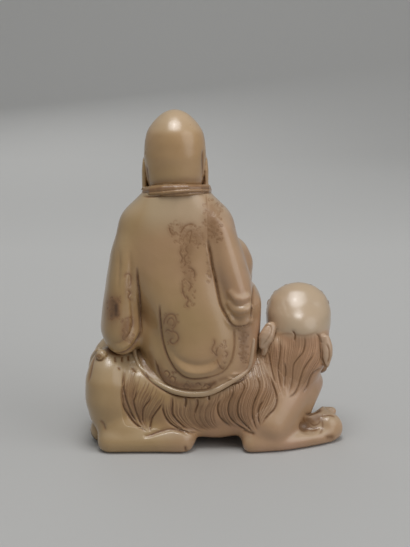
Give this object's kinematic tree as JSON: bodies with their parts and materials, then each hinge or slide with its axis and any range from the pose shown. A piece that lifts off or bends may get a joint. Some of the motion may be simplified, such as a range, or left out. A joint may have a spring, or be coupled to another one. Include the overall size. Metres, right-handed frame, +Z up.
{
  "type": "soapstone statuette",
  "caption": "Carved soapstone figure of a robed monk seated on a crouching lion, free-standing on the lion's flat-soled feet.",
  "frame": {"origin": "on the floor, at the middle of the figure's box", "axes": "+X the way the lion's body points, +Y the way the monk and the lion look, +Z up"},
  "size_m": [0.094, 0.0419, 0.12],
  "materials": {
    "skin_stone": "polished cream soapstone",
    "robe_stone": "polished cream soapstone with brown-stained engraving",
    "lion_stone": "polished cream soapstone",
    "fur_stone": "soapstone cut into fur, with brown stain in the grooves"
  },
  "bodies": {
    "root": {"monk_head": "skin_stone", "monk_left_ear": "skin_stone", "monk_right_ear": "skin_stone", "robe_collar": "robe_stone", "robe_mantle": "robe_stone", "robe_skirt": "robe_stone", "left_sleeve": "robe_stone", "right_sleeve": "robe_stone", "left_forearm": "robe_stone", "right_forearm": "robe_stone", "left_hand": "skin_stone", "right_hand": "skin_stone", "left_knee": "robe_stone", "right_knee": "robe_stone", "lion_trunk": "lion_stone", "right_flank_fur": "fur_stone", "left_flank_fur": "fur_stone", "right_haunch": "lion_stone", "left_haunch": "lion_stone", "right_hind_foot": "lion_stone", "left_hind_foot": "lion_stone", "right_foreleg": "lion_stone", "left_foreleg": "lion_stone", "right_forepaw": "lion_stone", "left_forepaw": "lion_stone", "lion_head": "lion_stone", "lion_muzzle": "lion_stone", "lion_left_ear": "lion_stone", "lion_right_ear": "lion_stone", "lion_mane": "fur_stone", "lion_brow_curls": "fur_stone", "lion_beard": "fur_stone", "lion_tail": "lion_stone", "tail_bead": "lion_stone"}
  },
  "joints": []
}
